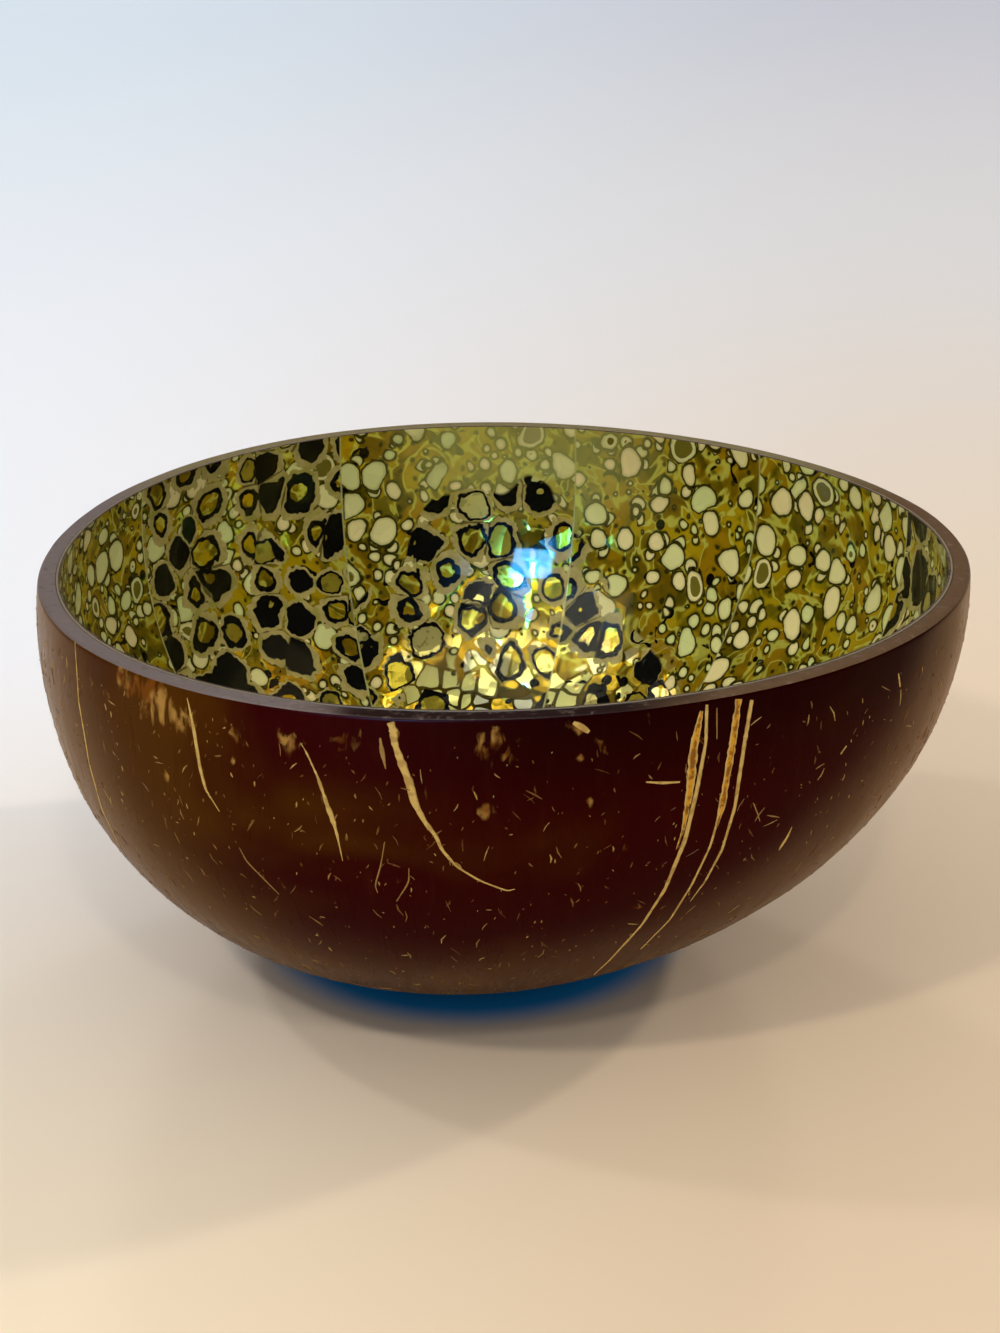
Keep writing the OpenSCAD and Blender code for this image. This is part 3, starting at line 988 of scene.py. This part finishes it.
DULL_TONE, BRIGHT_TONE = 0.4, 0.9
FRAYED = {"frayed": 0.45, "right_core": 0.22, "great": 0.18, "twin_core": 0.2}
USUAL_FRAY = 0.15
LEAST_RINGS = 4
STRAND_STEP = 0.6 * MM
STRAND_SIDES = 8
STRAND_NARROW = 0.74
STRAND_RISE = 0.06 * MM
STRAND_SINK = 0.12 * MM


def rod(bm, rings, sides):
    """A straight closed rod along x, with a ring at each whole number, and its vertices."""
    first = bmesh.ops.create_circle(bm, cap_ends=True, segments=sides, radius=1,
                                    matrix=Matrix.Rotation(QUARTER, 4, "Y"))["verts"]
    verts, edges = list(first), list(first[0].link_faces[0].edges)
    for _ in range(rings - 1):
        made = bmesh.ops.extrude_edge_only(bm, edges=edges)["geom"]
        fresh = [item for item in made if isinstance(item, bmesh.types.BMVert)]
        bmesh.ops.translate(bm, verts=fresh, vec=(1, 0, 0))
        edges = [item for item in made if isinstance(item, bmesh.types.BMEdge)
                 and item.verts[0] in fresh and item.verts[1] in fresh]
        verts += fresh
    bmesh.ops.edgeloop_fill(bm, edges=edges)
    return verts


def bend_rod(verts, layers, places, widths, tone, warmth):
    """Lays a rod's rings on the places, as a flat strand that is half sunk in the skin."""
    for vert in verts:
        number, aside, up = round(vert.co.x), vert.co.y, vert.co.z
        ahead = places[min(number + 1, len(places) - 1)] - places[max(number - 1, 0)]
        out = (places[number] - NUT_MIDDLE).normalized()
        across = ahead.cross(out).normalized()
        vert.co = (places[number] + across * (aside * widths[number] / 2)
                   + out * up * (STRAND_RISE if up > 0 else STRAND_SINK))
        for layer, value in zip(layers, (tone, warmth, abs(aside))):
            vert[layer] = value


def smooth_path(points, count):
    """Points and widths on a soft curve through the given ones, at even shares of their number."""
    points = np.array(points, float)
    knots = np.linspace(0, 1, len(points))
    shares = np.linspace(0, 1, count)
    coarse = np.stack([np.interp(shares, knots, column) for column in points.T], 1)
    padded = np.concatenate([coarse[:1], coarse, coarse[-1:]])
    return (padded[:-2] + 2 * padded[1:-1] + padded[2:]) / 4


bm = bmesh.new()
strand_layers = [bm.verts.layers.float.new(key) for key in STRAND_MARKS]
for name, points in LONG_FIBRES.items():
    length = sum(math.hypot(b[0] - a[0], b[1] - a[1]) for a, b in zip(points, points[1:])) * PIXEL
    path = smooth_path(points, max(LEAST_RINGS, round(length / STRAND_STEP)))
    places = [sanded(Vector(place)) for place in seen_on_skin(path[:, :2])]
    fray = FRAYED.get(name, USUAL_FRAY)
    widths = [width * STRAND_NARROW * PIXEL * (1 + chance.uniform(-fray, fray)) for width in path[:, 2]]
    tone, warmth = DULL_TONE if name in DULL else BRIGHT_TONE, 1.0 if name in GOLDEN else 0.0
    bend_rod(rod(bm, len(places), STRAND_SIDES), strand_layers, places, widths, tone, warmth)
as_piece(bm, "long_fibres", [blond_fibre], "shell")

# %% [markdown]
# ## The short ends
# Sanding cuts most of the fibres, and their ends are flecks all round the shell. To make thousands of rods
# one by one would be slow. One short rod is doubled twelve times instead, each time moved on by the new
# length, and then each rod is bent onto a place of its own. Most lie along the grain, and some across it.

# %% The short ends, scattered all round
FLECK_DOUBLINGS = 12
FLECK_LENGTHS = (0.3 * MM, 2.6 * MM)
FLECK_WIDTHS = (0.12 * MM, 0.34 * MM)
FLECK_SHAPE_SHARES = (0.35, 1.0, 0.3)
FLECK_SIDES = 6
FLECK_TONE = 0.7
FLECK_POWER = 2.2
FLECK_BOW_SHARE = 0.12
CROSSWISE_SHARE = 0.35
GRAIN_STRAY = 0.4
FLECK_DIPS = (0.05, 1.33)
ROD_APART = 4

bm = bmesh.new()
strand_layers = [bm.verts.layers.float.new(key) for key in STRAND_MARKS]
rod(bm, len(FLECK_SHAPE_SHARES), FLECK_SIDES)
for doubling in range(FLECK_DOUBLINGS):
    twins = bmesh.ops.duplicate(bm, geom=bm.verts[:] + bm.edges[:] + bm.faces[:])["geom"]
    twin_verts = [item for item in twins if isinstance(item, bmesh.types.BMVert)]
    bmesh.ops.translate(bm, verts=twin_verts, vec=(0, 0, ROD_APART * 2 ** doubling))
rods = {}
for vert in bm.verts:
    number = round(vert.co.z / ROD_APART)
    vert.co.z -= number * ROD_APART
    rods.setdefault(number, []).append(vert)

for verts in rods.values():
    turn = chance.uniform(0, 2 * math.pi)
    dip = math.asin(chance.uniform(*(math.sin(end) for end in FLECK_DIPS)))
    crosswise = chance.random() < CROSSWISE_SHARE
    off_grain = chance.uniform(-QUARTER, QUARTER) if crosswise else chance.gauss(0, GRAIN_STRAY)
    length = FLECK_LENGTHS[0] * (FLECK_LENGTHS[1] / FLECK_LENGTHS[0]) ** (chance.random() ** FLECK_POWER)
    bow = chance.uniform(-FLECK_BOW_SHARE, FLECK_BOW_SHARE) * length
    steps = np.linspace(-length / 2, length / 2, len(FLECK_SHAPE_SHARES))
    along = steps * math.cos(off_grain) / GIRTH_R
    aside = (steps * math.sin(off_grain) + bow * (1 - (2 * steps / length) ** 2)) / GIRTH_R / math.cos(dip)
    places = [sanded(Vector(place)) for place in wall_points(turn + aside, dip + along, 0)]
    width = min(chance.uniform(*FLECK_WIDTHS), length / 2)
    bend_rod(verts, strand_layers, places, [width * share for share in FLECK_SHAPE_SHARES],
             FLECK_TONE * chance.random() ** FLECK_POWER, 0.0)
as_piece(bm, "short_fibres", [blond_fibre], "shell")

# %% [markdown]
# ## The lining
# The filler lies on the wall in one sheet, the panels on the filler, the round piece over their points,
# and the lacquer on top. Each is the same patch at two depths, joined at the rim, so that it is a closed
# solid like the CAD one.

# %% The depths of the layers
BOND_T = 0.25 * MM
PANEL_T = 0.3 * MM
COAT_T = 0.35 * MM
CENTRE_R = 24 * MM
COAT_GAP = 0.02 * MM
PANEL_DEEP = SHELL_WALL + BOND_T
COAT_DEEP = PANEL_DEEP + PANEL_T
INSIDE_DEEP = COAT_DEEP + COAT_T
SEAM_TURNS = [math.radians(turn) for turn in (13, 43, 72, 107.5, 148, 184, 220, 256, 292, 330)]
RING_PANELS = ("inlay_panel_04", "inlay_panel_07", "inlay_panel_10")
PANEL_ARC = math.radians(45)
MAP_R = 62 * MM
PANEL_RINGS = 60
PANEL_MOVE = (61, 23)
CENTRE_RINGS, CENTRE_STEPS = 30, 120
CENTRE_MOVE = (700, 300)
FILLER_RINGS = 30
LACQUER_RINGS = 120


def full_layer(name, finish, slot, node, outer_deep, inner_deep, rings):
    """One layer all round the bowl, between two depths."""
    bm = ball_patch(rings, COLUMNS, QUARTER)
    outer, inner = thicken(bm)
    for verts, deep in ((outer, outer_deep), (inner, inner_deep)):
        turns, shares = ball_places(verts, QUARTER)
        lay(verts, wall_points(turns, shares * QUARTER, deep))
    as_piece(bm, name, [finish], slot, node)


full_layer("filler_coat", filler, "bond", "bond_coat", SHELL_WALL, PANEL_DEEP, FILLER_RINGS)

# %% [markdown]
# ## The ten panels
# A flat sheet can't lie on a round wall without folds, so it is cut into tapering panels, as the paper of
# a globe is. Each panel carries its own unrolled map in millimetres, and each vertex knows its way to the
# nearest seam, so that the print can end there.

# %% The panels
def lining_panel(number, node):
    """One tapering panel, from the rim to the round piece, between its two seams."""
    turn_from = SEAM_TURNS[number]
    turn_to = SEAM_TURNS[number + 1] if number + 1 < len(SEAM_TURNS) else SEAM_TURNS[0] + 2 * math.pi
    middle = (turn_from + turn_to) / 2
    steps = round(math.degrees(turn_to - turn_from))
    bm = ball_patch(PANEL_RINGS, steps, PANEL_ARC, turn_from, turn_to)
    seam_way = bm.verts.layers.float.new("seam_way")
    sheet_map = bm.loops.layers.uv.new("sheet")
    outer, inner = thicken(bm)
    flat = {}
    for verts, deep in ((outer, PANEL_DEEP), (inner, COAT_DEEP)):
        turns, shares = ball_places(verts, PANEL_ARC)
        dips = shares * dips_at(turns, CENTRE_R, deep)
        places = wall_points(turns, dips, deep)
        lay(verts, places)
        for vert, turn, dip, place in zip(verts, turns, dips, places):
            aside = (turn - middle + math.pi) % (2 * math.pi) - math.pi
            radius = math.hypot(place[0], place[1])
            vert[seam_way] = ((turn_to - turn_from) / 2 - abs(aside)) * radius / MM
            flat[vert] = (aside * radius / MM + PANEL_MOVE[0] * number,
                          dip * MAP_R / MM + PANEL_MOVE[1] * number)
    for face in bm.faces:
        for loop in face.loops:
            loop[sheet_map].uv = flat[loop.vert]
    ringed = node in RING_PANELS
    name = ("ring_" if ringed else "pebble_") + node.replace("inlay_", "")
    finish, slot = (ring_sheet, "ring_inlay") if ringed else (pebble_sheet, "pebble_inlay")
    as_piece(bm, name, [finish], slot, node)


for number, node in enumerate(PANEL_NODES):
    lining_panel(number, node)

# %% [markdown]
# ## The round piece at the bottom
# Ten points would meet badly, so a round piece covers the bottom. On the bench it would be a disc pressed
# into the curve. Here it is the same patch, from the lower edge of the panels down to the lowest point,
# and its map is its view from above.

# %% The round piece at the bottom
bm = ball_patch(CENTRE_RINGS, CENTRE_STEPS, QUARTER)
seam_way = bm.verts.layers.float.new("seam_way")
sheet_map = bm.loops.layers.uv.new("sheet")
outer, inner = thicken(bm)
for verts, deep in ((outer, PANEL_DEEP), (inner, COAT_DEEP)):
    turns, shares = ball_places(verts, QUARTER)
    edge_dips = dips_at(turns, CENTRE_R, deep)
    lay(verts, wall_points(turns, edge_dips + shares * (QUARTER - edge_dips), deep))
for vert in bm.verts:
    vert[seam_way] = (CENTRE_R - math.hypot(vert.co.x, vert.co.y)) / MM
for face in bm.faces:
    for loop in face.loops:
        loop[sheet_map].uv = (loop.vert.co.x / MM + CENTRE_MOVE[0], loop.vert.co.y / MM + CENTRE_MOVE[1])
as_piece(bm, "centre_piece", [ring_sheet], "ring_inlay", "inlay_centre")

# %% [markdown]
# ## The lacquer
# Clear lacquer is brushed over the whole lining and levels itself to a gloss. It is a closed layer of its
# own, and it starts a hair above the sheets so that the two surfaces don't fight for the same place.

# %% The lacquer
full_layer("lacquer_coat", lacquer, "lacquer", "clear_coat", COAT_DEEP + COAT_GAP, INSIDE_DEEP, LACQUER_RINGS)

# %% [markdown]
# ## The table and the light
# A pale table and a soft light from above and behind show the bowl as it stands in the picture: bright
# behind, a little shadow in front and at both sides. The table's colour runs from cream in front to a cool
# white far behind, and is painted cool and pale on the left and warmer and darker on the right: that side
# to side change is painted light, the uneven light of the room. The blue shine under the bowl is paint that
# only the camera sees, so it doesn't tint the shell.

# %% The table
# Bands of the table from near to far, and its tones from left to right as the camera sees them.
TABLE_R = 3.0
TABLE_SIDES = 96
TABLE_RING_SHARE = 0.5
LEFT_BANDS = ((-140 * MM, 160 * MM), (120 * MM, 1100 * MM))
RIGHT_BANDS = ((-20 * MM, 550 * MM), (400 * MM, 1300 * MM))
SIDEWAYS_SHARES = (-0.2, 0.2)
EYE_BACK = 390 * MM
NEAREST = 200 * MM
BLUE_MIDDLE = (3 * MM, 0, 0)
BLUE_REACH = 28 * MM
BLUE_FADE = 8 * MM

bm = bmesh.new()
bmesh.ops.create_circle(bm, cap_ends=True, segments=TABLE_SIDES, radius=TABLE_R)
bmesh.ops.inset_individual(bm, faces=bm.faces[:], thickness=TABLE_R * TABLE_RING_SHARE)
table_mesh = bpy.data.meshes.new("table")
bm.to_mesh(table_mesh)
bm.free()
floor = bpy.data.objects.new("table", table_mesh)
bpy.context.scene.collection.objects.link(floor)

table_paint, tree, shader = new_material("table_paint", Roughness=0.6, Specular_IOR_Level=0.1)
x, y, z = parts(tree, own_place(tree))
left = mixed(tree, rise(tree, y, *LEFT_BANDS[0]), screen(255, 236, 206), screen(247, 249, 255))
left = mixed(tree, rise(tree, y, *LEFT_BANDS[1]), left, screen(233, 245, 255))
right = mixed(tree, rise(tree, y, *RIGHT_BANDS[0]), screen(238, 214, 183), screen(226, 224, 224))
right = mixed(tree, rise(tree, y, *RIGHT_BANDS[1]), right, screen(210, 210, 220))
ahead = greater(tree, plus(tree, y, EYE_BACK), NEAREST)
sideways = reckon(tree, "DIVIDE", x, ahead)
# Painted light: the cool, pale left and the warmer, darker right stand for the room's uneven light.
colour = mixed(tree, rise(tree, sideways, *SIDEWAYS_SHARES), left, right)
off_base = vector_sum(tree, "DISTANCE", place_node(tree, "CombineXYZ", X=x, Y=y).outputs[0], BLUE_MIDDLE)
blue = times(tree, rise(tree, off_base, BLUE_REACH, BLUE_REACH + BLUE_FADE, 1.0, 0.0),
             place_node(tree, "LightPath").outputs["Is Camera Ray"])
colour = mixed(tree, blue, colour, screen(30, 160, 245))
feed(tree, shader.inputs["Base Color"], colour)
table_mesh.materials.append(table_paint)
print("table", 2 * TABLE_R, "m across")

# %% [markdown]
# ## The lamps and the sky
# Six small lamps light the bowl, placed by the edges of the shadows on the table. Three more light
# nothing and are only mirrored in the foil and the lacquer, for the window and the lights of the room. The
# sky is bright for the camera, dimmer as a light, and nearly dark in reflections, because the polished
# shell in the picture mirrors nothing bright.

# %% The lamps and the sky
# Each lamp's turn and climb as seen from the bowl in degrees, its way and size in metres, its share of
# the light on the table and its colour. The shares of the lighting lamps and the sky's add up to about 1.
LIGHTING_LAMPS = {
    "front_left_lamp": (233, 46, 1.6, 0.10, 0.140, (255, 244, 226)),
    "front_lamp": (275, 45, 1.6, 0.10, 0.070, (255, 244, 226)),
    "left_lamp": (169, 45, 1.6, 0.10, 0.080, (250, 248, 250)),
    "right_lamp": (19, 35, 1.8, 0.10, 0.125, (255, 242, 226)),
    "back_left_lamp": (103, 25, 3.4, 0.3, 0.055, (240, 246, 255)),
    "back_right_lamp": (69, 25, 3.4, 0.3, 0.045, (240, 246, 255)),
}
MIRRORED_LAMPS = {
    "window_glint": (250.7, 26, 1.15, 0.25, 1.000, (70, 175, 255)),
    "front_glow": (240, 57, 1.6, 1.40, 0.620, (255, 252, 225)),
    "right_glow": (2, 40, 1.6, 0.70, 0.030, (255, 228, 160)),
}
SKY_SHARE = 0.55
MIRRORED_SKY_SHARE = 0.07
SEEN_SKY_SHARE = 0.9


def soft_lamp(name, turn, climb, way, size, share, colour):
    """A square soft lamp that faces the bowl."""
    turn, climb = math.radians(turn), math.radians(climb)
    data = bpy.data.lights.new(name, "AREA")
    data.size = size
    data.energy = share * math.pi ** 2 * way ** 2 / math.sin(climb)
    data.color = screen(*colour)[:3]
    lamp = bpy.data.objects.new(name, data)
    side = math.cos(climb)
    lamp.location = AIM + Vector((side * math.cos(turn), side * math.sin(turn), math.sin(climb))) * way
    lamp.rotation_euler = (AIM - lamp.location).to_track_quat("-Z", "Y").to_euler()
    lamp.visible_glossy = name in MIRRORED_LAMPS
    lamp.visible_diffuse = name in LIGHTING_LAMPS
    bpy.context.scene.collection.objects.link(lamp)


for name, numbers in (LIGHTING_LAMPS | MIRRORED_LAMPS).items():
    soft_lamp(name, *numbers)

world = bpy.data.worlds.new("studio")
world.use_nodes = True
bpy.context.scene.world = world
sky = world.node_tree
background = sky.nodes["Background"]
background.inputs["Color"].default_value = screen(250, 251, 253)
light_path = place_node(sky, "LightPath").outputs
strength = rise(sky, light_path["Is Glossy Ray"], 0.0, 1.0, SKY_SHARE, MIRRORED_SKY_SHARE)
strength = times_plus(sky, light_path["Is Camera Ray"], SEEN_SKY_SHARE - SKY_SHARE, strength)
feed(sky, background.inputs["Strength"], strength)

bpy.context.scene.view_settings.view_transform = "Standard"
print(len(LIGHTING_LAMPS), "lamps and", len(MIRRORED_LAMPS), "that are only mirrored")
